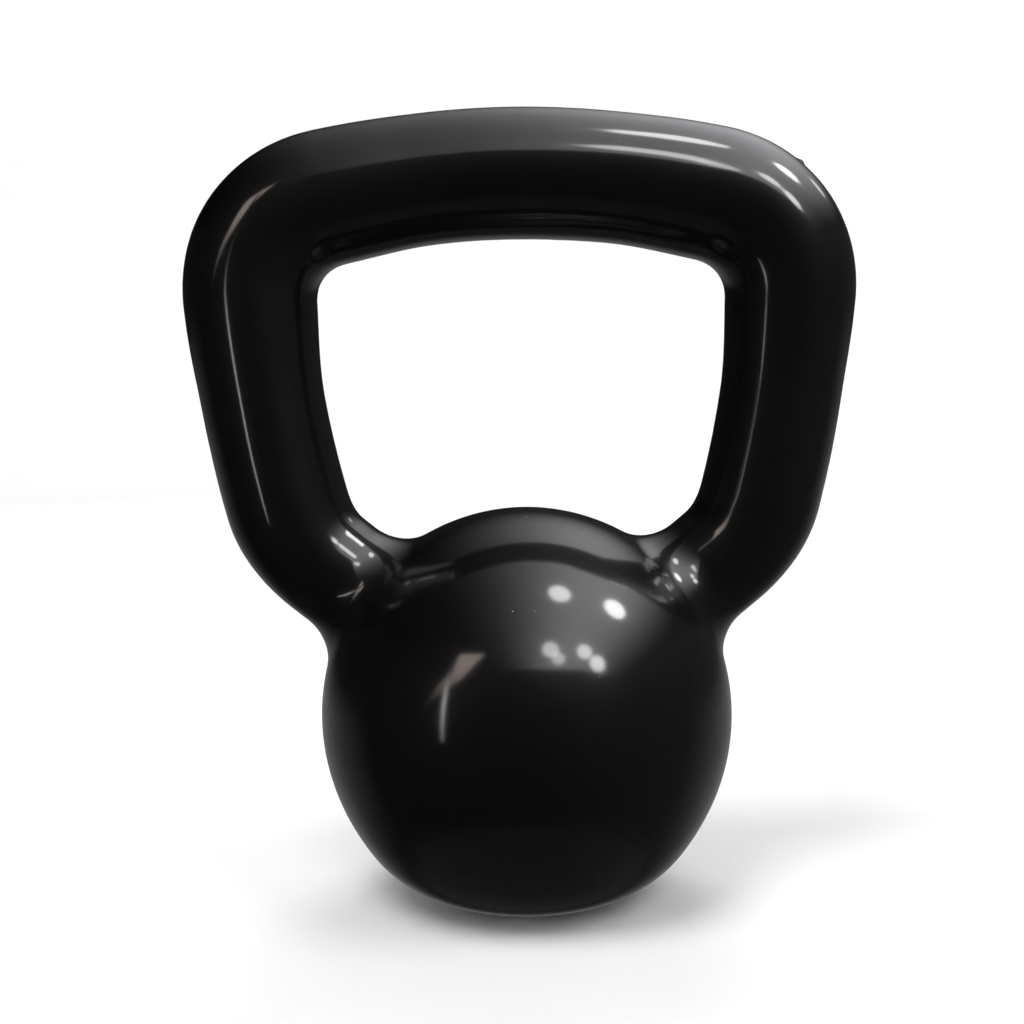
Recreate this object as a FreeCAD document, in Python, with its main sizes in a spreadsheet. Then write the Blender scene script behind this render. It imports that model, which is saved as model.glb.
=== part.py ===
import FreeCAD, Part
import os
import Sketcher
from FreeCAD import Placement, Rotation, Vector
from math import asin, atan2, cos, degrees, hypot, radians, sin, sqrt, tan

# A kettlebell of about 4 kg: one iron casting, a dipped vinyl skin all over it, and a plug in the hole that
# the casting hung from.  Millimetres and degrees.  The origin is the middle of the flat foot, +Z is up, and
# the handle lies in the XZ plane.

DIMENSIONS = (
    # ball, over the skin: a sphere, a slightly fuller flank below it, then a round edge into the flat foot
    ("ball_dia", 96.0),
    ("ball_height", 43.0),       # centre of the sphere above the floor
    ("flank_radius", 56.0),
    ("foot_round", 29.0),
    ("foot_dia", 28.0),
    ("skin", 2.5),               # thickness of the vinyl
    # centreline of one half of the handle: crowned grip, corner, bowed leg, horn, and a root inside the ball
    ("grip_height", 168.0),      # middle of the grip above the floor
    ("grip_half", 44.0),
    ("palm_offset", 8.0),        # sections that hold the grip's thickness, from the middle
    ("heel_offset", 22.0),
    ("crown_radius", 202.0),
    ("corner_radius", 23.6),
    ("leg_top_lean", 3.0),       # from the vertical
    ("leg_end_lean", 14.5),
    ("leg_radius", 231.0),
    ("horn_radius", 27.5),
    ("horn_lean", 51.0),
    ("root_length", 26.0),
    # thickness of the handle along that line, over the skin
    ("grip_dia", 29.7),
    ("grip_end_dia", 30.3),
    ("corner_dia", 30.8),
    ("shoulder_dia", 29.7),
    ("leg_dia", 27.7),
    ("horn_dia", 26.6),
    ("root_fillet", 10.0),       # where the horns run into the ball
    # drip that set at the lowest corner of the handle while the casting hung from its foot
    ("drip_heading", 42.0),      # around the corner, from the vertical
    ("drip_dia", 5.0),
    ("drip_proud", 1.1),
    # hanging hole and its plug
    ("hole_dia", 10.5),
    ("hole_depth", 22.0),        # into the iron, to the drill's shoulder
    ("drill_angle", 59.0),       # half of the drill's point
    ("mouth_dia", 14.0),         # through the skin
    ("plug_gap", 0.1),           # all round
    ("plug_recess", 0.4),        # above the floor
    ("plug_chamfer", 0.5),
    ("stem_length", 14.0),
    ("tip_length", 3.0),
    ("tip_dia", 7.5),
)

# a pair of geometry and point numbers that means a sketch's own origin, and its two axes
ORIGIN = (-1, 1)
FLOOR_LINE = -1
AXIS_LINE = -2
START = 1
END = 2
CENTRE = 3


class Dims:
    """The sheet's cells as attributes, for first guesses at the geometry that the sketches then solve."""

    def __init__(self, sheet):
        self.sheet = sheet

    def __getattr__(self, name):
        return float(self.sheet.get(name))


def make_sheet(doc):
    sheet = doc.addObject("Spreadsheet::Sheet", "dims")
    for row, (name, value) in enumerate(DIMENSIONS, start=1):
        sheet.set(f"A{row}", name)
        sheet.set(f"B{row}", str(value))
        sheet.setAlias(f"B{row}", name)
    doc.recompute()
    return sheet


def origin_feature(body, role):
    return next(item for item in body.Origin.OriginFeatures if item.Role == role)


def new_sketch(body, name, plane):
    sketch = body.newObject("Sketcher::SketchObject", f"{body.Name}_{name}")
    sketch.AttachmentSupport = [(origin_feature(body, plane), "")]
    sketch.MapMode = "FlatFace"
    return sketch


def bind(sketch, kind, refs, value, expression):
    """Add a dimension that follows an expression."""
    index = sketch.addConstraint(Sketcher.Constraint(kind, *refs, value))
    sketch.setExpression(f"Constraints[{index}]", expression)


def measure(sketch, name, kind, refs, value):
    """Add a named dimension that only measures, for other sketches to follow."""
    index = sketch.addConstraint(Sketcher.Constraint(kind, *refs, value))
    sketch.setDriving(index, False)
    sketch.renameConstraint(index, name)


def arc(cx, cz, radius, start, end):
    circle = Part.Circle(Vector(cx, cz, 0), Vector(0, 0, 1), radius)
    return Part.ArcOfCircle(circle, radians(start), radians(end))


def line(start, end):
    return Part.LineSegment(Vector(*start, 0), Vector(*end, 0))


def inwards(length, inset):
    """Expression for a length over the skin, or over the iron where inset is the number of skins taken off."""
    return f"dims.{length} - {inset} * dims.skin"


def add_ball(body, d, inset):
    """Revolve half of the ball's outline: foot, foot round, flank and sphere."""
    skin = inset * d.skin
    foot = d.foot_dia / 2
    sphere = d.ball_dia / 2 - skin
    flank = d.flank_radius - skin
    edge = d.foot_round - skin
    top = d.ball_height + sphere
    # the flank arc touches the sphere and the foot round, so its centre closes a triangle with theirs
    drop = d.ball_height - d.foot_round
    apart = hypot(foot, drop)
    along = (apart ** 2 + (flank - sphere) ** 2 - (flank - edge) ** 2) / (2 * apart)
    aside = sqrt((flank - sphere) ** 2 - along ** 2)
    flank_x = (along * foot - aside * drop) / apart
    flank_z = d.ball_height - (along * drop + aside * foot) / apart
    upper = degrees(atan2(d.ball_height - flank_z, -flank_x))
    lower = degrees(atan2(d.foot_round - flank_z, foot - flank_x))

    sketch = new_sketch(body, "ball_outline", "XZ_Plane")
    axis, floor, round_, side, dome = sketch.addGeometry(
        [
            line((0, skin), (0, top)),
            line((0, skin), (foot, skin)),
            arc(foot, d.foot_round, edge, -90, lower),
            arc(flank_x, flank_z, flank, lower, upper),
            arc(0, d.ball_height, sphere, upper, 90),
        ],
        False,
    )
    for kind, *refs in (
        ("PointOnObject", axis, START, AXIS_LINE),
        ("Vertical", axis),
        ("Coincident", axis, START, floor, START),
        ("Horizontal", floor),
        ("Tangent", floor, END, round_, START),
        ("Tangent", round_, END, side, START),
        ("Tangent", side, END, dome, START),
        ("PointOnObject", dome, CENTRE, AXIS_LINE),
        ("Coincident", dome, END, axis, END),
    ):
        sketch.addConstraint(Sketcher.Constraint(kind, *refs))
    bind(sketch, "DistanceX", (floor, START, floor, END), foot, "dims.foot_dia / 2")
    bind(sketch, "DistanceY", (*ORIGIN, dome, CENTRE), d.ball_height, "dims.ball_height")
    bind(sketch, "Radius", (round_,), edge, inwards("foot_round", inset))
    bind(sketch, "Radius", (side,), flank, inwards("flank_radius", inset))
    bind(sketch, "Radius", (dome,), sphere, f"dims.ball_dia / 2 - {inset} * dims.skin")
    if inset:
        bind(sketch, "DistanceY", (*ORIGIN, axis, START), skin, f"{inset} * dims.skin")
    else:
        sketch.addConstraint(Sketcher.Constraint("PointOnObject", axis, START, FLOOR_LINE))
    spin(body, "Revolution", "ball", sketch)


def add_centreline(body, d):
    """Half of the handle's centreline.  A heading of 0 runs outwards and 90 runs straight down."""
    grip_turn = degrees(asin(d.grip_half / d.crown_radius))
    leg_top_turn = 90 + d.leg_top_lean
    leg_end_turn = 90 + d.leg_end_lean
    root_turn = 90 + d.horn_lean

    def step(point, heading, length):
        turn = radians(heading)
        return (point[0] + length * cos(turn), point[1] - length * sin(turn))

    def outwards(point, heading, length):
        return step(point, heading - 90, length)

    # first guesses at the arcs' centres, each on the line through the last joint
    crown = (0, d.grip_height - d.crown_radius)
    corner = outwards(crown, grip_turn, d.crown_radius - d.corner_radius)
    leg = outwards(corner, leg_top_turn, d.corner_radius - d.leg_radius)
    horn = outwards(leg, leg_end_turn, d.leg_radius - d.horn_radius)
    leg_top = outwards(corner, leg_top_turn, d.corner_radius)
    leg_end = outwards(leg, leg_end_turn, d.leg_radius)
    horn_end = outwards(horn, root_turn, d.horn_radius)
    root_end = step(horn_end, root_turn, d.root_length)

    sketch = new_sketch(body, "centreline", "XZ_Plane")
    grip_arc, corner_arc, leg_arc, horn_arc, root = sketch.addGeometry(
        [
            arc(*crown, d.crown_radius, 90 - grip_turn, 90),
            arc(*corner, d.corner_radius, 90 - leg_top_turn, 90 - grip_turn),
            arc(*leg, d.leg_radius, 90 - leg_end_turn, 90 - leg_top_turn),
            arc(*horn, d.horn_radius, 90 - root_turn, 90 - leg_end_turn),
            line(horn_end, root_end),
        ],
        False,
    )
    # construction spokes that carry the leg's lean at its two ends
    top_spoke, end_spoke = sketch.addGeometry([line(corner, leg_top), line(leg, leg_end)], True)
    for kind, *refs in (
        ("PointOnObject", grip_arc, CENTRE, AXIS_LINE),
        ("PointOnObject", grip_arc, END, AXIS_LINE),
        ("Tangent", grip_arc, START, corner_arc, END),
        ("Tangent", corner_arc, START, leg_arc, END),
        ("Tangent", leg_arc, START, horn_arc, END),
        ("Tangent", horn_arc, START, root, START),
        ("Coincident", top_spoke, START, corner_arc, CENTRE),
        ("Coincident", top_spoke, END, corner_arc, START),
        ("Coincident", end_spoke, START, leg_arc, CENTRE),
        ("Coincident", end_spoke, END, leg_arc, START),
    ):
        sketch.addConstraint(Sketcher.Constraint(kind, *refs))
    bind(sketch, "Radius", (grip_arc,), d.crown_radius, "dims.crown_radius")
    bind(sketch, "Radius", (corner_arc,), d.corner_radius, "dims.corner_radius")
    bind(sketch, "Radius", (leg_arc,), d.leg_radius, "dims.leg_radius")
    bind(sketch, "Radius", (horn_arc,), d.horn_radius, "dims.horn_radius")
    bind(sketch, "DistanceY", (*ORIGIN, grip_arc, END), d.grip_height, "dims.grip_height")
    bind(sketch, "DistanceX", (*ORIGIN, grip_arc, START), d.grip_half, "dims.grip_half")
    bind(sketch, "Distance", (root,), d.root_length, "dims.root_length")
    bind(sketch, "Angle", (top_spoke,), -radians(d.leg_top_lean), "-dims.leg_top_lean * 1 deg")
    bind(sketch, "Angle", (end_spoke,), -radians(d.leg_end_lean), "-dims.leg_end_lean * 1 deg")
    bind(sketch, "Angle", (root,), -radians(root_turn), "-(90 + dims.horn_lean) * 1 deg")
    for name, geometry, point, place in (
        ("crown", grip_arc, CENTRE, crown),
        ("corner", corner_arc, CENTRE, corner),
        ("leg", leg_arc, CENTRE, leg),
        ("horn", horn_arc, CENTRE, horn),
        ("root", root, END, root_end),
    ):
        measure(sketch, f"{name}_x", "DistanceX", (*ORIGIN, geometry, point), place[0])
        measure(sketch, f"{name}_z", "DistanceY", (*ORIGIN, geometry, point), place[1])
    return sketch


def stations(spine):
    """The handle's sections: name, thickness, and heading and place as expressions."""
    centre = f"{spine.Name}.Constraints"
    palm = "asin(dims.palm_offset / dims.crown_radius)"
    heel = "asin(dims.heel_offset / dims.crown_radius)"
    grip_end = "asin(dims.grip_half / dims.crown_radius)"
    leg_top = "(90 + dims.leg_top_lean) * 1 deg"
    leg_end = "(90 + dims.leg_end_lean) * 1 deg"
    root = "(90 + dims.horn_lean) * 1 deg"

    def on(name, heading):
        reach = f"dims.{name}_radius * 1 mm"
        across = f"{centre}.{name}_x + {reach} * sin({heading})"
        up = f"{centre}.{name}_z + {reach} * cos({heading})"
        return heading, across, up

    return (
        ("grip", "grip_dia", *on("crown", "0 deg")),
        ("palm", "grip_dia", *on("crown", palm)),
        ("heel", "grip_dia", *on("crown", heel)),
        ("grip_end", "grip_end_dia", *on("crown", grip_end)),
        ("corner", "corner_dia", *on("corner", f"({grip_end} + {leg_top}) / 2")),
        ("shoulder", "shoulder_dia", *on("corner", leg_top)),
        ("shin", "leg_dia", *on("leg", f"({leg_top} + {leg_end}) / 2")),
        ("leg_end", "leg_dia", *on("leg", leg_end)),
        ("horn_end", "horn_dia", *on("horn", root)),
        ("root_end", "horn_dia", root, f"{centre}.root_x", f"{centre}.root_z"),
    )


def add_section(body, name, size, diameter, heading, across, up):
    """A circle square to the centreline."""
    sketch = new_sketch(body, f"{name}_section", "YZ_Plane")
    circle = Part.Circle(Vector(0, 0, 0), Vector(0, 0, 1), size / 2)
    sketch.addGeometry(circle, False)
    sketch.addConstraint(Sketcher.Constraint("Coincident", 0, CENTRE, *ORIGIN))
    bind(sketch, "Diameter", (0,), size, diameter)
    # the plane's own x, y and z axes lie along the model's Y, Z and X; its x axis is the one it turns about
    sketch.AttachmentOffset = Placement(Vector(0, 0, 0), Rotation(Vector(1, 0, 0), 45))
    sketch.setExpression("AttachmentOffset.Base.y", up)
    sketch.setExpression("AttachmentOffset.Base.z", across)
    sketch.setExpression("AttachmentOffset.Rotation.Angle", heading)
    return sketch


def add_handle(body, d, inset):
    """Sweep half of the handle through its sections and mirror it."""
    spine = add_centreline(body, d)
    sections = [
        add_section(body, name, getattr(d, size), f"dims.{size} - {2 * inset} * dims.skin", *place)
        for name, size, *place in stations(spine)
    ]
    body.Document.recompute()
    half = body.newObject("PartDesign::AdditivePipe", f"{body.Name}_half_handle")
    half.Profile = sections[0]
    half.Spine = (spine, [f"Edge{number}" for number in range(1, 6)])
    half.Sections = [(section, [""]) for section in sections[1:]]
    half.Transformation = "Multisection"
    half.Mode = "Frenet"
    body.Document.recompute()
    handle = body.newObject("PartDesign::Mirrored", f"{body.Name}_handle")
    handle.Originals = [half]
    handle.MirrorPlane = (origin_feature(body, "YZ_Plane"), [""])
    body.Tip = handle
    body.Document.recompute()
    return handle


def add_root_fillet(body, d, handle, inset):
    """Round the two closed seams where the horns meet the ball."""
    centre = Vector(0, 0, d.ball_height)
    radius = d.ball_dia / 2 - inset * d.skin
    clear_of_axis = d.ball_dia / 8
    seams = []
    for number, edge in enumerate(handle.Shape.Edges, start=1):
        if edge.Degenerated:
            continue
        points = edge.discretize(9)
        on_ball = all(abs((point - centre).Length - radius) < 1e-3 for point in points)
        beside_horn = all(abs(point.x) > clear_of_axis and point.z > d.ball_height for point in points)
        if on_ball and beside_horn:
            seams.append(f"Edge{number}")
    fillet = body.newObject("PartDesign::Fillet", f"{body.Name}_root_fillet")
    fillet.Base = (handle, seams)
    fillet.setExpression("Radius", "dims.root_fillet")


def add_drip(body):
    """A bead of vinyl that set on the outside of one corner."""
    drip = body.newObject("PartDesign::AdditiveSphere", f"{body.Name}_drip")
    drip.AttachmentSupport = [(origin_feature(body, "XZ_Plane"), "")]
    drip.MapMode = "FlatFace"
    corner = f"{body.Name}_centreline.Constraints"
    reach = "(dims.corner_radius + (dims.corner_dia - dims.drip_dia) / 2 + dims.drip_proud) * 1 mm"
    drip.setExpression("Radius", "dims.drip_dia / 2")
    drip.setExpression("AttachmentOffset.Base.x", f"{corner}.corner_x + {reach} * sin(dims.drip_heading)")
    drip.setExpression("AttachmentOffset.Base.y", f"{corner}.corner_z + {reach} * cos(dims.drip_heading)")


def outline(body, name, points):
    """A closed outline in the XZ plane.  Each point is (x, z, x expression, z expression)."""
    sketch = new_sketch(body, name, "XZ_Plane")
    count = len(points)
    for index, point in enumerate(points):
        sketch.addGeometry(line(point[:2], points[(index + 1) % count][:2]), False)
    for index, (x, z, x_text, z_text) in enumerate(points):
        before = (index - 1) % count
        sketch.addConstraint(Sketcher.Constraint("Coincident", before, END, index, START))
        if x_text == "0":
            sketch.addConstraint(Sketcher.Constraint("PointOnObject", index, START, AXIS_LINE))
        else:
            bind(sketch, "DistanceX", (*ORIGIN, index, START), x, x_text)
        if z_text == "0":
            sketch.addConstraint(Sketcher.Constraint("PointOnObject", index, START, FLOOR_LINE))
        else:
            bind(sketch, "DistanceY", (*ORIGIN, index, START), z, z_text)
    return sketch


def spin(body, kind, name, sketch):
    """Turn an outline about the vertical axis, adding or cutting."""
    feature = body.newObject(f"PartDesign::{kind}", f"{body.Name}_{name}")
    feature.Profile = sketch
    feature.ReferenceAxis = (sketch, ["V_Axis"])
    feature.Angle = 360
    return feature


def add_hanging_hole(body, d):
    """The drilled hole in the iron and the wider mouth that the skin leaves around it."""
    hole = d.hole_dia / 2
    mouth = d.mouth_dia / 2
    shoulder = d.skin + d.hole_depth
    point = hole / tan(radians(d.drill_angle))
    sketch = outline(
        body,
        "hole_outline",
        (
            (0, 0, "0", "0"),
            (mouth, 0, "dims.mouth_dia / 2", "0"),
            (mouth, d.skin, "dims.mouth_dia / 2", "dims.skin"),
            (hole, d.skin, "dims.hole_dia / 2", "dims.skin"),
            (hole, shoulder, "dims.hole_dia / 2", "dims.skin + dims.hole_depth"),
            (
                0,
                shoulder + point,
                "0",
                "dims.skin + dims.hole_depth + dims.hole_dia / 2 / tan(dims.drill_angle)",
            ),
        ),
    )
    spin(body, "Groove", "hanging_hole", sketch)


def make_casting(doc, d, name, inset):
    """The kettlebell's solid shape, with its whole surface moved in by a number of skins."""
    body = doc.addObject("PartDesign::Body", name)
    body.Label = name
    add_ball(body, d, inset)
    handle = add_handle(body, d, inset)
    add_root_fillet(body, d, handle, inset)
    doc.recompute()
    return body


def make_iron_core(doc, d):
    body = make_casting(doc, d, "iron_core", 1)
    add_hanging_hole(body, d)
    return body


def make_vinyl_coat(doc, d, iron_core):
    """The skin is what is left of the whole kettlebell's shape once the iron is taken out of it."""
    whole = make_casting(doc, d, "dipped_shape", 0)
    add_drip(whole)
    add_hanging_hole(whole, d)
    coat = doc.addObject("Part::Cut", "vinyl_coat")
    coat.Label = "vinyl_coat"
    coat.Base = whole
    coat.Tool = iron_core
    return coat


def make_hole_plug(doc, d):
    """A push-in plug: a flat head in the skin's mouth and a stem with a tapered tip in the iron."""
    body = doc.addObject("PartDesign::Body", "hole_plug")
    body.Label = "hole_plug"
    head = d.mouth_dia / 2 - d.plug_gap
    stem = d.hole_dia / 2 - d.plug_gap
    face = d.plug_recess
    tip_start = d.skin + d.stem_length - d.tip_length
    head_text = "dims.mouth_dia / 2 - dims.plug_gap"
    stem_text = "dims.hole_dia / 2 - dims.plug_gap"
    sketch = outline(
        body,
        "outline",
        (
            (0, face, "0", "dims.plug_recess"),
            (head - d.plug_chamfer, face, f"{head_text} - dims.plug_chamfer", "dims.plug_recess"),
            (head, face + d.plug_chamfer, head_text, "dims.plug_recess + dims.plug_chamfer"),
            (head, d.skin, head_text, "dims.skin"),
            (stem, d.skin, stem_text, "dims.skin"),
            (stem, tip_start, stem_text, "dims.skin + dims.stem_length - dims.tip_length"),
            (d.tip_dia / 2, d.skin + d.stem_length, "dims.tip_dia / 2", "dims.skin + dims.stem_length"),
            (0, d.skin + d.stem_length, "0", "dims.skin + dims.stem_length"),
        ),
    )
    spin(body, "Revolution", "turned", sketch)
    return body


def check(doc, parts):
    for item in doc.Objects:
        faults = {"Invalid", "Error"} & set(item.State)
        if faults:
            raise RuntimeError(f"{item.Name} is {', '.join(sorted(faults))}")
    for part in parts:
        shape = part.Shape
        if shape.isNull() or not shape.isValid():
            raise RuntimeError(f"{part.Label} has no valid shape")
        if len(shape.Solids) != 1:
            raise RuntimeError(f"{part.Label} is {len(shape.Solids)} solids instead of one")


def main():
    doc = FreeCAD.newDocument("kettlebell")
    d = Dims(make_sheet(doc))
    iron_core = make_iron_core(doc, d)
    parts = (iron_core, make_vinyl_coat(doc, d, iron_core), make_hole_plug(doc, d))
    doc.recompute()
    check(doc, parts)
    os.makedirs("parts", exist_ok=True)
    for part in parts:
        part.Shape.exportStep(f"parts/{part.Label}.step")
        print(f"{part.Label}: {part.Shape.Volume / 1000:.1f} cm3")


main()
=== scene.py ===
import math

import bpy
import numpy as np
from mathutils import Matrix, Vector


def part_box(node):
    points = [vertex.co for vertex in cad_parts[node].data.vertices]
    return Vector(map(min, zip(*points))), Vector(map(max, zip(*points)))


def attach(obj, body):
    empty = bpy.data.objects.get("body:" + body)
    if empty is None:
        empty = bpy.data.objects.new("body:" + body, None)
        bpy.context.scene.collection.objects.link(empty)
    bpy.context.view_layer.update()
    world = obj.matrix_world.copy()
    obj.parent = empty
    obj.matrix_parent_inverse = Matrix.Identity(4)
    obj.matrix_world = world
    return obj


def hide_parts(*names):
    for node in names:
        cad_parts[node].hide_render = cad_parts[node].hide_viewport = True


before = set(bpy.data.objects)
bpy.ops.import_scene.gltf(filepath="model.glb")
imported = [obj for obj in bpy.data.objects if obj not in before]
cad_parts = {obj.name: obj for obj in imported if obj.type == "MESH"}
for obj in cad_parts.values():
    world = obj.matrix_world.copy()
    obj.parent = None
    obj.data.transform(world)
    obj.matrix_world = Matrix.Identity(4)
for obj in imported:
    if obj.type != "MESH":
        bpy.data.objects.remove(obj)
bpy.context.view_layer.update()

# A 4 kg kettlebell dipped in black vinyl, built as an exact surface and meshed from it.  The surface is
# worked out in millimetres and turned into metres when a mesh is made from it.  +Z is up and the handle lies
# in XZ.

MM = 0.001

# ---------------------------------------------------------------- sizes

coat_low, coat_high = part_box("vinyl_coat")
CENTRE_X = (coat_low.x + coat_high.x) / 2 / MM
BALL_DIA = (coat_high.y - coat_low.y) / MM
TOP = coat_high.z / MM

BALL_HEIGHT = 43.0         # centre of the ball above the floor
FLANK_RADIUS = 56.0        # the ball's fuller flank
FOOT_ROUND = 29.0
FOOT_DIA = 28.0
SKIN = 2.5                 # thickness of the vinyl
MOUTH_DIA = 14.0           # the hole that the skin leaves around the plug

# centreline of one half of the handle, and its thickness along it
GRIP_HALF = 44.0
CROWN_RADIUS = 202.0
CORNER_RADIUS = 23.6
LEG_RADIUS = 231.0
HORN_RADIUS = 27.5
LEG_TOP_TURN = math.radians(93.0)      # headings: 0 runs outwards, 90 degrees straight down
LEG_END_TURN = math.radians(104.5)
ROOT_TURN = math.radians(141.0)
ROOT_LENGTH = 26.0
GRIP_DIA = 29.7
GRIP_END_DIA = 30.3
CORNER_DIA = 30.2
SHOULDER_DIA = 29.7
LEG_DIA = 27.7
HORN_DIA = 26.6
PALM = 22.0                # the grip keeps its thickness this far from its middle
ROOT_FILLET = 10.0

# where the corners are fuller than round: how much, and how far to each side along the centreline
OUTER_SWELL = 0.65         # on the outside, at the middle of the corner
OUTER_SWELL_REACH = 20.0
INNER_SWELL = 0.45         # on the inside, at the end of the grip
INNER_SWELL_REACH = 24.0

# what sets this casting apart from its drawing
HANDLE_SHIFT = 0.5         # the handle sits this far towards +X of the ball's middle
LEFT_FULLER = 0.020        # how much thicker each leg is than drawn
RIGHT_FULLER = 0.008

# the drip on the outside of the right corner
DRIP_TURN = math.radians(42.0)
DRIP_PROUD = 1.1
DRIP_HALF_WIDTH = 1.7
DRIP_UPPER = 2.6           # tapers this far up the handle and ends steeply below
DRIP_LOWER = 0.8

# slow waves in the skin: length, height, direction and phase
WAVES = (
    (41.0, 0.035, (0.8, 0.3, 0.5), 0.7),
    (29.0, 0.022, (-0.3, 0.6, 0.75), 2.1),
    (17.0, 0.010, (0.5, -0.7, 0.5), 4.0),
    (13.0, 0.006, (0.2, 0.5, -0.85), 5.2),
)

# the block of space that the surface is looked for in
BLOCK_LOW = (-86.0, -54.0, -4.0)
BLOCK_HIGH = (86.0, 54.0, 190.0)


def unit(v):
    return v / np.maximum(np.linalg.norm(v, axis=-1, keepdims=True), 1e-12)


# ---------------------------------------------------------------- the ball

def flank_centre():
    """Centre of the flank arc, which touches the sphere above it and the foot round below it."""
    foot = FOOT_DIA / 2
    drop = BALL_HEIGHT - FOOT_ROUND
    apart = math.hypot(foot, drop)
    to_sphere = FLANK_RADIUS - BALL_DIA / 2
    to_foot = FLANK_RADIUS - FOOT_ROUND
    along = (apart ** 2 + to_sphere ** 2 - to_foot ** 2) / (2 * apart)
    aside = math.sqrt(to_sphere ** 2 - along ** 2)
    out = (along * foot - aside * drop) / apart
    height = BALL_HEIGHT - (along * drop + aside * foot) / apart
    return np.array((out, height))


def ball_field(p):
    """Distance outside the ball, and the direction away from it."""
    reach = np.hypot(p[:, 0], p[:, 1])
    q = np.stack((reach, p[:, 2]), 1)
    sphere = np.array((0.0, BALL_HEIGHT))
    foot = np.array((FOOT_DIA / 2, FOOT_ROUND))
    flank = flank_centre()

    def above(joint_centre, other):
        """True past the line of the joint between two arcs."""
        ray = unit(joint_centre - other)
        v = q - joint_centre
        return ray[0] * v[:, 1] - ray[1] * v[:, 0] > 0

    on_sphere = above(sphere, flank)
    on_flank = ~on_sphere & above(foot, flank)
    on_round = ~on_sphere & ~on_flank & (reach > foot[0])
    centre = np.where(on_sphere[:, None], sphere, np.where(on_flank[:, None], flank, foot))
    radius = np.where(on_sphere, BALL_DIA / 2, np.where(on_flank, FLANK_RADIUS, FOOT_ROUND))
    v = q - centre
    distance = np.linalg.norm(v, axis=1) - radius
    away = unit(v)
    on_foot = ~(on_sphere | on_flank | on_round)
    distance = np.where(on_foot, -q[:, 1], distance)
    away = np.where(on_foot[:, None], np.array((0.0, -1.0)), away)
    out = p[:, :2] / np.maximum(reach, 1e-9)[:, None]
    return distance, np.column_stack((out * away[:, :1], away[:, 1]))


# ---------------------------------------------------------------- the handle

def centreline():
    """The arcs of half of the centreline: centre, radius, first and last heading, and length before it."""
    grip_turn = math.asin(GRIP_HALF / CROWN_RADIUS)
    turns = (0.0, grip_turn, LEG_TOP_TURN, LEG_END_TURN, ROOT_TURN)
    radii = (CROWN_RADIUS, CORNER_RADIUS, LEG_RADIUS, HORN_RADIUS)
    centre = np.array((0.0, TOP - GRIP_DIA / 2 - CROWN_RADIUS))
    arcs = []
    length = 0.0
    for index, radius in enumerate(radii):
        first, last = turns[index], turns[index + 1]
        arcs.append((centre.copy(), radius, first, last, length))
        length += radius * (last - first)
        if index + 1 < len(radii):
            centre += (radius - radii[index + 1]) * np.array((math.sin(last), math.cos(last)))
    return arcs, length


ARCS, ROOT_START = centreline()


def arc_point(arc, turn):
    centre, radius = arc[:2]
    return centre + radius * np.array((math.sin(turn), math.cos(turn)))


def smooth_table():
    """Half thickness along the centreline, worked out finely as a monotone cubic through the sections."""
    corner, leg, horn = (arc[4] for arc in ARCS[1:])
    sections = (
        (0.0, GRIP_DIA),
        (PALM, GRIP_DIA),
        (corner, GRIP_END_DIA),
        ((corner + leg) / 2, CORNER_DIA),
        (leg, SHOULDER_DIA),
        ((leg + horn) / 2, LEG_DIA),
        (horn, LEG_DIA),
        (ROOT_START, HORN_DIA),
        (ROOT_START + ROOT_LENGTH, HORN_DIA),
    )
    knots, dia = np.array(sections).T
    step = np.diff(knots)
    rise = np.diff(dia) / step
    slope = np.zeros(len(knots))
    for i in range(1, len(knots) - 1):
        if rise[i - 1] * rise[i] > 0:
            slope[i] = 2 / (1 / rise[i - 1] + 1 / rise[i])
    s = np.arange(0.0, knots[-1], 0.05)
    k = np.clip(np.searchsorted(knots, s, "right") - 1, 0, len(step) - 1)
    t = (s - knots[k]) / step[k]
    value = (
        dia[k] * (1 + 2 * t) * (1 - t) ** 2
        + dia[k + 1] * t * t * (3 - 2 * t)
        + slope[k] * step[k] * t * (1 - t) ** 2
        - slope[k + 1] * step[k] * t * t * (1 - t)
    )
    return s, value / 2


TABLE_S, TABLE_RADIUS = smooth_table()


def smooth_step(x, low, high):
    t = np.clip((x - low) / (high - low), 0, 1)
    return t * t * (3 - 2 * t)


def hump(x, reach):
    """1 at the middle, falling smoothly to 0 at reach on each side."""
    return np.cos(np.clip(x / reach, -1, 1) * math.pi / 2) ** 2


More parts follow.
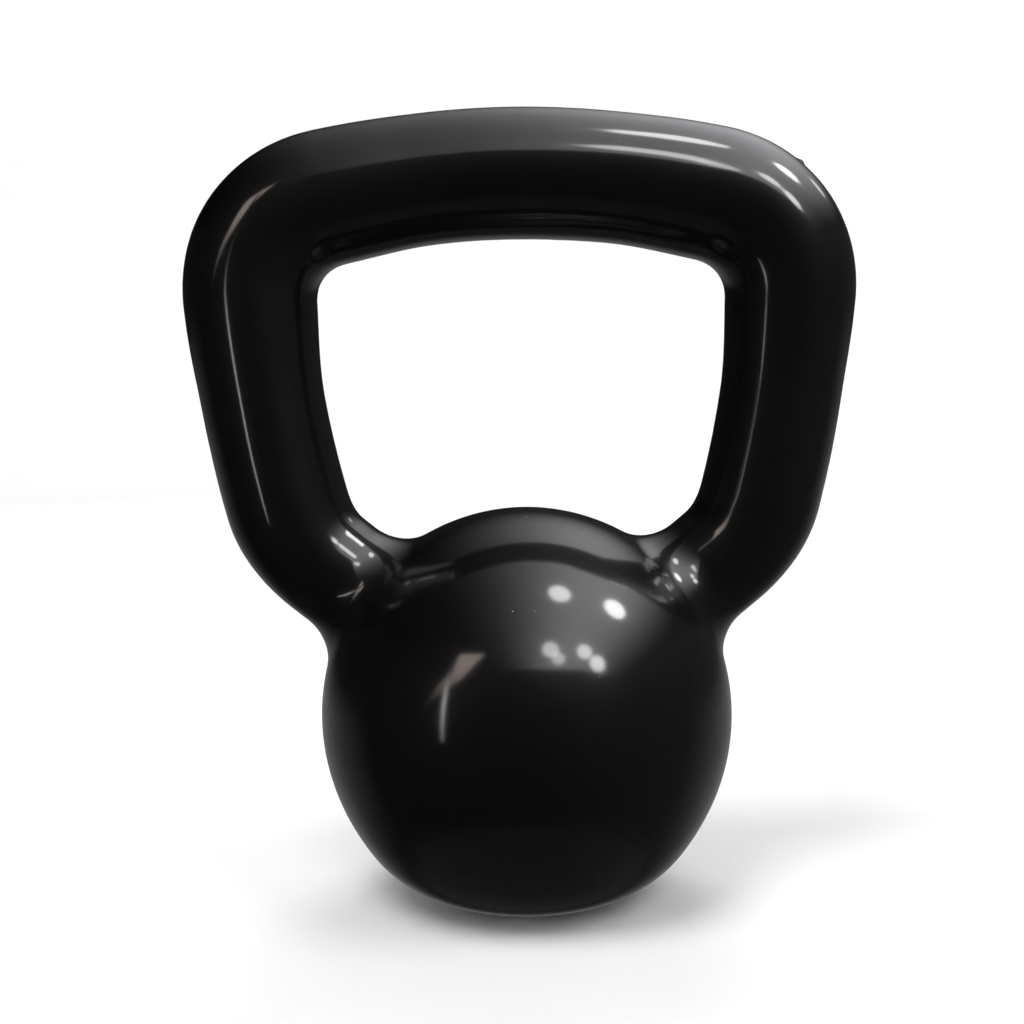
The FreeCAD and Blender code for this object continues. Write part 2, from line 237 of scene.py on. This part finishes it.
def handle_field(p):
    """Distance outside the handle, and the direction away from its centreline."""
    x = p[:, 0] - HANDLE_SHIFT
    side = np.where(x < 0, -1.0, 1.0)
    q = np.stack((np.abs(x), p[:, 2]), 1)
    best = np.full(len(q), np.inf)
    near = np.zeros_like(q)
    s = np.zeros(len(q))
    heading = np.zeros(len(q))

    def offer(point, length, turn):
        nonlocal best, near, s, heading
        gap = np.linalg.norm(q - point, axis=1)
        closer = gap < best
        best = np.where(closer, gap, best)
        near = np.where(closer[:, None], point, near)
        s = np.where(closer, length, s)
        heading = np.where(closer, turn, heading)

    for centre, radius, first, last, start in ARCS:
        v = q - centre
        turn = np.clip(np.arctan2(v[:, 0], v[:, 1]), first, last)
        point = centre + radius * np.stack((np.sin(turn), np.cos(turn)), 1)
        offer(point, start + radius * (turn - first), turn)
    root = arc_point(ARCS[-1], ROOT_TURN)
    down = np.array((math.cos(ROOT_TURN), -math.sin(ROOT_TURN)))
    along = np.clip((q - root) @ down, 0, ROOT_LENGTH)
    offer(root + along[:, None] * down, ROOT_START + along, ROOT_TURN)

    radius = np.interp(s, TABLE_S, TABLE_RADIUS)
    fuller = np.where(side < 0, LEFT_FULLER, RIGHT_FULLER)
    corner, leg, horn = (arc[4] for arc in ARCS[1:])
    radius = radius * (1 + fuller * smooth_step(s, corner, leg) * (1 - smooth_step(s, horn, ROOT_START)))
    v = q - near
    distance = np.hypot(best, p[:, 1])
    outward = (v[:, 0] * np.sin(heading) + v[:, 1] * np.cos(heading)) / np.maximum(distance, 1e-9)
    radius = radius + OUTER_SWELL * hump(s - (corner + leg) / 2, OUTER_SWELL_REACH) * ((1 + outward) / 2) ** 2
    radius = radius + INNER_SWELL * hump(s - corner, INNER_SWELL_REACH) * ((1 - outward) / 2) ** 2
    away = np.stack((v[:, 0] * side, p[:, 1], v[:, 1]), 1) / np.maximum(distance, 1e-9)[:, None]
    return distance - radius, away


def drip_height(p):
    """How far the drip stands out of the skin."""
    arc = ARCS[1]
    middle = arc_point(arc, DRIP_TURN)
    out = np.array((math.sin(DRIP_TURN), math.cos(DRIP_TURN)))
    down = np.array((out[1], -out[0]))
    q = np.stack((p[:, 0] - HANDLE_SHIFT, p[:, 2]), 1) - middle
    along = q @ down
    length = np.where(along > 0, DRIP_LOWER, DRIP_UPPER)
    outer = smooth_step(q @ out, 0, CORNER_DIA / 4)
    return DRIP_PROUD * outer * np.exp(-(along / length) ** 2 - (p[:, 1] / DRIP_HALF_WIDTH) ** 2)


def waves(p):
    total = np.zeros(len(p))
    for length, height, direction, phase in WAVES:
        ray = np.array(direction) / np.linalg.norm(direction)
        total += height * np.sin(2 * math.pi / length * (p @ ray) + phase)
    return total * smooth_step(p[:, 2], 0.5, 6.0)


# ---------------------------------------------------------------- the whole casting

def field(p):
    """Distance outside the skin, with a rolling-ball fillet of ROOT_FILLET where the horns meet the ball."""
    ball, from_ball = ball_field(p)
    handle, from_handle = handle_field(p)
    # how far short of the fillet's centre line the point is, measured along the two surfaces' directions
    a = ROOT_FILLET - ball
    b = ROOT_FILLET - handle
    c = np.clip(np.sum(from_ball * from_handle, 1), -0.98, 0.98)
    across = 1 - c * c
    along_a = (a - c * b) / across
    along_b = (b - c * a) / across
    reach = np.sqrt(np.maximum((a * a - 2 * c * a * b + b * b) / across, 0))
    in_fillet = (along_a > 0) & (along_b > 0) & (a > 0) & (b > 0)
    plain = np.minimum(ball, handle)
    return np.where(in_fillet, np.minimum(ROOT_FILLET - reach, plain), plain)


def outer_field(p):
    return field(p) - waves(p) - drip_height(p)


def inner_field(p):
    return field(p) + SKIN


def slope_of(function, p, step=0.02):
    """Gradient by central differences."""
    columns = []
    for axis in range(3):
        nudge = np.zeros(3)
        nudge[axis] = step
        columns.append((function(p + nudge) - function(p - nudge)) / (2 * step))
    return np.stack(columns, 1)


def surface_net(function, cell):
    """Quads around the surface where function is 0: a point in each cell that it crosses, joined to the
    points of the cells beside it."""
    low = np.array(BLOCK_LOW)
    high = np.array(BLOCK_HIGH)
    count = np.ceil((high - low) / cell).astype(int) + 1
    axes = [low[i] + cell * np.arange(count[i]) for i in range(3)]
    value = np.empty(count)
    for index, x in enumerate(axes[0]):
        y, z = np.meshgrid(axes[1], axes[2], indexing="ij")
        p = np.stack((np.full(y.size, x), y.ravel(), z.ravel()), 1)
        value[index] = function(p).reshape(y.shape)
    inside = value < 0
    total = np.zeros(tuple(count - 1) + (3,))
    crossed = np.zeros(tuple(count - 1))
    quads = []
    for axis in range(3):
        first = np.moveaxis(inside, axis, 0)[:-1]
        second = np.moveaxis(inside, axis, 0)[1:]
        v0 = np.moveaxis(value, axis, 0)[:-1]
        v1 = np.moveaxis(value, axis, 0)[1:]
        i, j, k = np.nonzero(first != second)
        t = v0[i, j, k] / (v0[i, j, k] - v1[i, j, k])
        others = [other for other in range(3) if other != axis]
        place = np.zeros((len(i), 3), int)
        place[:, axis], place[:, others[0]], place[:, others[1]] = i, j, k
        point = low + cell * place.astype(float)
        point[:, axis] += cell * t
        corners = []
        for da, db in ((0, 0), (1, 0), (1, 1), (0, 1)):
            owner = place.copy()
            owner[:, others[0]] -= da
            owner[:, others[1]] -= db
            np.add.at(total, tuple(owner.T), point)
            np.add.at(crossed, tuple(owner.T), 1)
            corners.append(np.ravel_multi_index(tuple(owner.T), tuple(count - 1)))
        quad = np.stack(corners, 1)
        flip = first[i, j, k] != (axis == 1)
        quad[flip] = quad[flip][:, ::-1]
        quads.append(quad)
    cells = np.flatnonzero(crossed.ravel())
    points = total.reshape(-1, 3)[cells] / crossed.ravel()[cells][:, None]
    number = np.full(crossed.size, -1)
    number[cells] = np.arange(len(cells))
    return points, number[np.concatenate(quads)]


def settle(function, p):
    """Move points on to the surface."""
    for _ in range(3):
        slope = slope_of(function, p)
        p = p - function(p)[:, None] * slope / np.maximum(np.sum(slope * slope, 1), 0.05)[:, None]
    return p


def relaxed(function, points, quads, rounds):
    """Even out the quads by pulling each point towards its neighbours' middle, along the surface."""
    pull = 0.6
    edges = np.concatenate([quads[:, [i, (i + 1) % 4]] for i in range(4)])
    count = np.bincount(edges.ravel(), minlength=len(points))[:, None]
    for _ in range(rounds):
        total = np.zeros_like(points)
        np.add.at(total, edges[:, 0], points[edges[:, 1]])
        np.add.at(total, edges[:, 1], points[edges[:, 0]])
        points = settle(function, points + pull * (total / count - points))
    return points


# ---------------------------------------------------------------- meshes

def mesh_object(name, points, faces, material):
    mesh = bpy.data.meshes.new(name)
    mesh.from_pydata([tuple(p) for p in points * MM], [], [tuple(int(i) for i in f) for f in faces])
    mesh.materials.append(material)
    item = bpy.data.objects.new(name, mesh)
    bpy.context.scene.collection.objects.link(item)
    return item


def turned(name, profile, material, segments=96):
    """A solid turned about the vertical axis from a closed outline of (radius, height), which starts and ends
    on the axis."""
    rings = profile[1:-1]
    points = [(0.0, 0.0, profile[0][1])]
    for r, z in rings:
        for i in range(segments):
            turn = 2 * math.pi * i / segments
            points.append((r * math.cos(turn), r * math.sin(turn), z))
    points.append((0.0, 0.0, profile[-1][1]))
    last = len(points) - 1
    faces = []
    for i in range(segments):
        j = (i + 1) % segments
        faces.append((0, 1 + j, 1 + i))
        for k in range(len(rings) - 1):
            a, b = 1 + k * segments, 1 + (k + 1) * segments
            faces.append((a + i, a + j, b + j, b + i))
        end = 1 + (len(rings) - 1) * segments
        faces.append((end + i, end + j, last))
    item = mesh_object(name, np.array(points), faces, material)
    for polygon in item.data.polygons:
        polygon.use_smooth = True
    return item


def cut_mouth(item):
    """Cut the round mouth through the foot of the skin."""
    r = MOUTH_DIA / 2
    past = 2
    profile = ((0, -past), (r, -past), (r, SKIN + past), (0, SKIN + past))
    cutter = turned("mouth_cutter", profile, item.data.materials[0])
    cut = item.modifiers.new("mouth", "BOOLEAN")
    cut.operation = "DIFFERENCE"
    cut.solver = "EXACT"
    cut.object = cutter
    bpy.context.view_layer.update()
    evaluated = item.evaluated_get(bpy.context.evaluated_depsgraph_get())
    mesh = bpy.data.meshes.new_from_object(evaluated)
    item.modifiers.clear()
    old = item.data
    item.data = mesh
    bpy.data.meshes.remove(old)
    spare = cutter.data
    bpy.data.objects.remove(cutter)
    bpy.data.meshes.remove(spare)


def shade_exactly(item):
    """Give each corner of the skin the direction of the exact surface there."""
    mesh = item.data
    count = len(mesh.vertices)
    points = np.empty(count * 3)
    mesh.vertices.foreach_get("co", points)
    points = points.reshape(-1, 3) / MM
    outer = np.abs(field(points)) < SKIN / 2
    normal = np.where(
        outer[:, None], unit(slope_of(outer_field, points)), -unit(slope_of(inner_field, points))
    )
    owner = np.empty(len(mesh.loops), int)
    mesh.loops.foreach_get("vertex_index", owner)
    corner = normal[owner]
    slack = 0.02
    on_wall = np.hypot(points[:, 0], points[:, 1]) < MOUTH_DIA / 2 + slack
    for polygon in mesh.polygons:
        polygon.use_smooth = True
        if abs(polygon.normal.z) < 0.5 and all(on_wall[i] for i in polygon.vertices):
            for loop in polygon.loop_indices:
                x, y, _ = points[owner[loop]]
                corner[loop] = -np.array((x, y, 0.0)) / math.hypot(x, y)
    mesh.normals_split_custom_set([tuple(n) for n in corner])


def vinyl_skin(material):
    fine, coarse = ((1.3, 3.0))
    points, quads = surface_net(outer_field, fine)
    points = relaxed(outer_field, settle(outer_field, points), quads, 6)
    inner_points, inner_quads = surface_net(inner_field, coarse)
    inner_points = relaxed(inner_field, settle(inner_field, inner_points), inner_quads, 3)
    both = np.concatenate((points, inner_points))
    faces = np.concatenate((quads, inner_quads[:, ::-1] + len(points)))
    item = mesh_object("vinyl_skin", both + np.array((CENTRE_X, 0, 0)), faces, material)
    cut_mouth(item)
    shade_exactly(item)
    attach(item, "root")
    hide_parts("vinyl_coat")


def rubber_plug(material):
    """A head with a rounded edge and a shallow dish in its face, on a stem that tapers to its tip."""
    low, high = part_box("hole_plug")
    head = (high.x - low.x) / 2 / MM
    face, tip = low.z / MM, high.z / MM
    shoulder = 1.75
    stem = head - shoulder
    tip_radius = 3.75
    taper = 3.0
    edge = 0.5
    edge_steps = 6
    gap = 0.02
    dish = 3.2
    depth = 0.35
    profile = [(0, face + depth), (dish * 0.6, face + depth), (dish, face + 0.22), (dish + 0.4, face + 0.02)]
    profile.append((head - edge, face))
    for i in range(1, edge_steps + 1):
        turn = math.pi / 2 * i / edge_steps
        profile.append((head - edge + edge * math.sin(turn), face + edge * (1 - math.cos(turn))))
    profile += [(head, SKIN - gap), (stem, SKIN), (stem, tip - taper), (tip_radius, tip), (0, tip)]
    item = turned("rubber_plug", profile, material)
    item.data.set_sharp_from_angle(angle=math.radians(40))
    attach(item, "root")
    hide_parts("hole_plug")


# ---------------------------------------------------------------- materials

def maths(tree, operation, a, b=None):
    """The result of a math node, whose inputs are sockets or numbers."""
    node = tree.nodes.new("ShaderNodeMath")
    node.operation = operation
    for value, socket in zip((a, b), node.inputs):
        if isinstance(value, float):
            socket.default_value = value
        elif value is not None:
            tree.links.new(value, socket)
    return node.outputs[0]


def axes_of(tree, place):
    """The three parts of a texture coordinate."""
    coordinate = tree.nodes.new("ShaderNodeTexCoord")
    split = tree.nodes.new("ShaderNodeSeparateXYZ")
    tree.links.new(coordinate.outputs[place], split.inputs["Vector"])
    return split.outputs


class Nodes:
    """A material's nodes, made and joined in one call each."""

    def __init__(self, name):
        self.material = bpy.data.materials.new(name)
        self.material.use_nodes = True
        self.tree = self.material.node_tree
        self.shader = self.tree.nodes["Principled BSDF"]
        self.place = self.tree.nodes.new("ShaderNodeTexCoord").outputs["Object"]

    def join(self, source, target):
        self.tree.links.new(source, target)

    def noise(self, scale, detail=2.0, roughness=0.5):
        node = self.tree.nodes.new("ShaderNodeTexNoise")
        self.join(self.place, node.inputs["Vector"])
        node.inputs["Scale"].default_value = scale
        node.inputs["Detail"].default_value = detail
        node.inputs["Roughness"].default_value = roughness
        return node.outputs["Fac"]

    def specks(self, scale, size):
        """1 in small round specks, 0 between them."""
        node = self.tree.nodes.new("ShaderNodeTexVoronoi")
        self.join(self.place, node.inputs["Vector"])
        node.inputs["Scale"].default_value = scale
        return self.spread(node.outputs["Distance"], size, size * 0.4, 0.0, 1.0)

    def spread(self, value, low, high, out_low, out_high):
        node = self.tree.nodes.new("ShaderNodeMapRange")
        self.join(value, node.inputs["Value"])
        node.inputs["From Min"].default_value = low
        node.inputs["From Max"].default_value = high
        node.inputs["To Min"].default_value = out_low
        node.inputs["To Max"].default_value = out_high
        return node.outputs["Result"]

    def upward(self):
        """1 where the surface faces up, 0 where it faces down."""
        geometry = self.tree.nodes.new("ShaderNodeNewGeometry")
        split = self.tree.nodes.new("ShaderNodeSeparateXYZ")
        self.join(geometry.outputs["Normal"], split.inputs["Vector"])
        return self.spread(split.outputs["Z"], -0.2, 0.9, 0.0, 1.0)

    def colour(self, value, dark, light):
        node = self.tree.nodes.new("ShaderNodeMix")
        node.data_type = "RGBA"
        self.join(value, node.inputs["Factor"])
        node.inputs["A"].default_value = (*dark, 1)
        node.inputs["B"].default_value = (*light, 1)
        return node.outputs["Result"]

    def bump(self, height, distance, under=None):
        node = self.tree.nodes.new("ShaderNodeBump")
        self.join(height, node.inputs["Height"])
        node.inputs["Distance"].default_value = distance
        node.inputs["Strength"].default_value = 1.0
        if under is not None:
            self.join(under, node.inputs["Normal"])
        return node.outputs["Normal"]

    def set(self, **values):
        """Shader sockets by name, with _ for a space."""
        for name, value in values.items():
            socket = self.shader.inputs[name.replace("_", " ")]
            if hasattr(value, "is_linked"):
                self.join(value, socket)
            else:
                socket.default_value = value


def vinyl_material():
    """Glossy dipped vinyl: a sharp gloss over a softer one, slow waves, faint smears and a little dust."""
    n = Nodes("gloss_vinyl")
    smear = n.noise(38.0, 3.0, 0.6)
    grain = n.noise(420.0, 3.0, 0.55)
    dusty = n.spread(n.noise(60.0, 2.0), 0.5, 0.62, 0.0, 1.0)
    dust = maths(n.tree, "MULTIPLY", n.specks(190.0, 0.05), dusty)
    dust = maths(n.tree, "MULTIPLY", dust, n.upward())
    n.set(
        Base_Color=n.colour(dust, (0.0018, 0.0019, 0.0022), (0.20, 0.19, 0.18)),
        Roughness=n.spread(smear, 0.3, 0.75, 0.36, 0.46),
        Specular_IOR_Level=0.11,
        Coat_Weight=1.0,
        Coat_Roughness=0.105,
        Coat_IOR=1.5,
    )
    ripple = n.bump(n.noise(95.0, 1.0), 0.00003)
    skin = n.bump(grain, 0.000004, ripple)
    n.set(Normal=skin, Coat_Normal=ripple)
    return n.material


def rubber_material():
    n = Nodes("moulded_rubber")
    grain = n.noise(900.0, 4.0, 0.6)
    patch = n.noise(140.0, 3.0)
    n.set(
        Base_Color=n.colour(patch, (0.016, 0.016, 0.017), (0.034, 0.033, 0.032)),
        Roughness=n.spread(grain, 0.3, 0.7, 0.55, 0.75),
        Normal=n.bump(grain, 0.00005),
    )
    return n.material


def iron_material():
    """As cast, with the sand's grain and a thin brown bloom."""
    n = Nodes("cast_iron")
    grain = n.noise(700.0, 6.0, 0.65)
    bloom = n.spread(n.noise(55.0, 4.0), 0.4, 0.7, 0.0, 1.0)
    n.set(
        Base_Color=n.colour(bloom, (0.10, 0.10, 0.105), (0.13, 0.085, 0.06)),
        Metallic=0.8,
        Roughness=n.spread(grain, 0.25, 0.75, 0.5, 0.8),
        Normal=n.bump(grain, 0.0002),
    )
    return n.material


# ---------------------------------------------------------------- studio

CEILING = 2.3              # metres above the floor
LAMP_HANG = 0.8            # lamps hang at this share of its height, clear of it when tipped
BACKDROP_RADIUS = 1.9


def emitter(name, colour, strength, falloff=None):
    """A material that only gives light.  falloff is a list of (axis, middle, width below, width above)."""
    material = bpy.data.materials.new(name)
    material.use_nodes = True
    tree = material.node_tree
    tree.nodes.clear()
    out = tree.nodes.new("ShaderNodeOutputMaterial")
    light = tree.nodes.new("ShaderNodeEmission")
    light.inputs["Color"].default_value = (*colour, 1)
    light.inputs["Strength"].default_value = strength
    tree.links.new(light.outputs[0], out.inputs["Surface"])
    if falloff:
        axes = axes_of(tree, "Object")
        total = 0.0
        for axis, middle, below, above in falloff:
            away = maths(tree, "SUBTRACT", axes[axis], middle)
            for width in (-below, above):
                past = maths(tree, "MAXIMUM", maths(tree, "MULTIPLY", away, 1 / width), 0.0)
                total = maths(tree, "ADD", total, maths(tree, "POWER", past, 2.0))
        share = maths(tree, "EXPONENT", maths(tree, "MULTIPLY", total, -1.0))
        tree.links.new(maths(tree, "MULTIPLY", share, strength), light.inputs["Strength"])
    return material


def only_in_gloss(item):
    item.visible_camera = False
    item.visible_diffuse = False
    item.visible_transmission = False
    item.visible_volume_scatter = False
    item.visible_shadow = False


def card(name, corners, material):
    """A flat card that shows only in the gloss.  Corners are in metres."""
    item = mesh_object(name, np.array(corners) / MM, [tuple(range(len(corners)))], material)
    only_in_gloss(item)


def ceiling():
    """A ceiling lit in its middle, with the top of a dark wall cutting it off in front."""
    left, right, front, back = (x * CEILING for x in (-1.9, 2.4, -1.5, 2.2))
    glow = emitter(
        "ceiling_glow",
        (1.0, 1.0, 1.03),
        2.8,
        (
            ("X", 0.55 * CEILING, 0.55 * CEILING, 0.78 * CEILING),
            ("Y", -0.1 * CEILING, 9.0 * CEILING, 1.2 * CEILING),
        ),
    )
    corners = ((left, front, CEILING), (left, back, CEILING), (right, back, CEILING), (right, front, CEILING))
    card("ceiling", corners, glow)


def disc_light(name, place, size, power):
    """A round light that faces the middle of the floor and is out of the camera's sight."""
    light = bpy.data.lights.new(name, "AREA")
    light.shape = "DISK"
    light.size = size
    light.energy = power
    item = bpy.data.objects.new(name, light)
    bpy.context.scene.collection.objects.link(item)
    item.location = place
    item.rotation_mode = "QUATERNION"
    item.rotation_quaternion = Vector(place).to_track_quat("Z", "Y")
    item.visible_camera = False
    return item


def lamp(name, across, deep, level, size):
    """A lamp hung under the ceiling, placed by its offsets from overhead as shares of its height.  Its
    radius is a share of its distance."""
    place = Vector((across, deep, 1.0)) * CEILING * LAMP_HANG
    radius = size * place.length
    item = disc_light(name, place, 2 * radius, level * math.pi * math.pi * radius ** 2)
    item.data.color = (1.0, 0.99, 0.97)
    item.visible_diffuse = False


def soft_light(name, place, size, power):
    """A broad light for the floor and backdrop, which leaves no mark in the gloss."""
    item = disc_light(name, place, size, power)
    item.visible_glossy = False


def room_gloss():
    """The dim room around, brighter behind and to the right, as a plain gradient."""
    world = bpy.data.worlds.new("room")
    bpy.context.scene.world = world
    world.use_nodes = True
    tree = world.node_tree
    back = tree.nodes["Background"]
    back.inputs["Color"].default_value = (0.97, 0.99, 1.0, 1)
    axes = axes_of(tree, "Generated")

    def ramp(axis, low, high, level):
        """From 0 to level as a direction's share along an axis goes from low to high."""
        share = tree.nodes.new("ShaderNodeMapRange")
        tree.links.new(axes[axis], share.inputs["Value"])
        share.inputs["From Min"].default_value = low
        share.inputs["From Max"].default_value = high
        share.inputs["To Min"].default_value = 0.0
        share.inputs["To Max"].default_value = level
        return share.outputs["Result"]

    far_floor = maths(tree, "MULTIPLY", ramp("Y", 0.1, 0.85, 0.2), ramp("Z", 0.0, -0.15, 1.0))
    far_floor = maths(tree, "MULTIPLY", far_floor, ramp("Z", -0.75, -0.45, 1.0))
    total = maths(tree, "ADD", far_floor, 0.012)
    total = maths(tree, "ADD", total, ramp("X", 0.2, 1.0, 0.05))
    total = maths(tree, "ADD", total, ramp("Z", -0.72, -0.82, 0.05))
    tree.links.new(total, back.inputs["Strength"])


def backdrop():
    """A pale floor that turns up into a round wall, all in one sheet."""
    segments = 128
    floor_steps = 12
    bend_steps = 16
    radius = BACKDROP_RADIUS
    bend = 0.6
    wall_top = 3.2
    profile = [(radius * i / floor_steps, 0.0) for i in range(floor_steps + 1)]
    for i in range(1, bend_steps + 1):
        turn = math.pi / 2 * i / bend_steps
        profile.append((radius + bend * math.sin(turn), bend * (1 - math.cos(turn))))
    profile.append((radius + bend, wall_top))
    points = [(0.0, 0.0, 0.0)]
    for r, z in profile[1:]:
        for i in range(segments):
            turn = 2 * math.pi * i / segments
            points.append((r * math.cos(turn), r * math.sin(turn), z))
    faces = [(0, 1 + i, 1 + (i + 1) % segments) for i in range(segments)]
    for k in range(len(profile) - 2):
        a, b = 1 + k * segments, 1 + (k + 1) * segments
        for i in range(segments):
            j = (i + 1) % segments
            faces.append((a + i, b + i, b + j, a + j))
    n = Nodes("pale_paper")
    fleck = n.noise(14.0, 5.0, 0.6)
    n.set(
        Base_Color=n.colour(fleck, (0.80, 0.80, 0.80), (0.84, 0.84, 0.84)),
        Roughness=0.9,
        Specular_IOR_Level=0.1,
    )
    item = mesh_object("backdrop", np.array(points) / MM, faces, n.material)
    for polygon in item.data.polygons:
        polygon.use_smooth = True
    item.visible_glossy = False
    item.visible_shadow = False


def studio():
    backdrop()
    room_gloss()
    ceiling()
    lamp("lamp_back_left", 0.264, -0.212, 13.0, 0.085)
    lamp("lamp_back_right", 0.837, -0.152, 19.0, 0.09)
    lamp("lamp_front_left", 0.281, -1.023, 10.0, 0.07)
    lamp("lamp_front_left_low", 0.426, -1.21, 8.0, 0.055)
    lamp("lamp_front_middle", 0.76, -1.003, 13.0, 0.065)
    lamp("lamp_front_right", 1.122, -1.229, 15.0, 0.07)
    lamp("lamp_far_right", 1.25, 0.72, 4.0, 0.06)
    # a bright upright edge close by on the left, and the pale head of a doorway beyond it
    edge = emitter("bright_edge", (1.0, 0.98, 0.95), 7.0, (("Z", 0.10, 0.07, 0.06),))
    far_side, near_side = (-0.189, -0.189), (-0.181, -0.195)
    foot, head = 0.02, 0.32
    outline = ((*far_side, foot), (*near_side, foot), (*near_side, head), (*far_side, head))
    card("near_edge", outline, edge)
    door = emitter("doorway", (1.0, 0.84, 0.77), 4.2, (("Z", 1.5, 0.6, 2.0),))
    outline = (
        (-2.70, -1.50, 0.34),
        (-1.50, -1.76, 1.10),
        (-1.02, -1.79, 1.75),
        (-1.62, -1.55, 1.75),
        (-1.86, -1.62, 1.22),
    )
    card("doorway", outline, door)
    soft_light("key", (-0.9, -1.1, 2.6), 1.5, 52.0)
    soft_light("fill_right", (1.6, -0.9, 2.2), 1.6, 25.0)
    soft_light("fill_back", (0.3, 1.5, 2.4), 1.6, 28.0)


# ---------------------------------------------------------------- camera

CAMERA_DISTANCE = 0.3342   # from the ball's middle, in metres
CAMERA_AZIMUTH = math.radians(-2.53)
CAMERA_ELEVATION = math.radians(12.0)
CAMERA_ROLL = math.radians(-0.95)
CAMERA_AIM = (-0.00265, 0, 0.04694)    # from the ball's middle
LENS, SENSOR = 49.2, 36.0


def camera():
    """A camera held close: slightly to the left, a little above the ball, and a degree off level."""
    middle = Vector((CENTRE_X, 0, BALL_HEIGHT)) * MM
    flat = CAMERA_DISTANCE * math.cos(CAMERA_ELEVATION)
    height = CAMERA_DISTANCE * math.sin(CAMERA_ELEVATION)
    place = middle + Vector((flat * math.sin(CAMERA_AZIMUTH), -flat * math.cos(CAMERA_AZIMUTH), height))
    aim = middle + Vector(CAMERA_AIM)
    data = bpy.data.cameras.new("camera")
    data.sensor_width = SENSOR
    data.lens = LENS
    data.clip_start = 0.01
    data.clip_end = 50.0
    item = bpy.data.objects.new("camera", data)
    bpy.context.scene.collection.objects.link(item)
    turn = (aim - place).to_track_quat("-Z", "Y").to_matrix() @ Matrix.Rotation(CAMERA_ROLL, 3, "Z")
    item.location = place
    item.rotation_mode = "QUATERNION"
    item.rotation_quaternion = turn.to_quaternion()
    bpy.context.scene.camera = item


# ---------------------------------------------------------------- everything together

def build():
    vinyl_skin(vinyl_material())
    rubber_plug(rubber_material())
    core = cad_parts["iron_core"]
    core.data.materials.clear()
    core.data.materials.append(iron_material())
    studio()
    camera()
    bpy.context.scene.view_settings.view_transform = "Standard"


build()
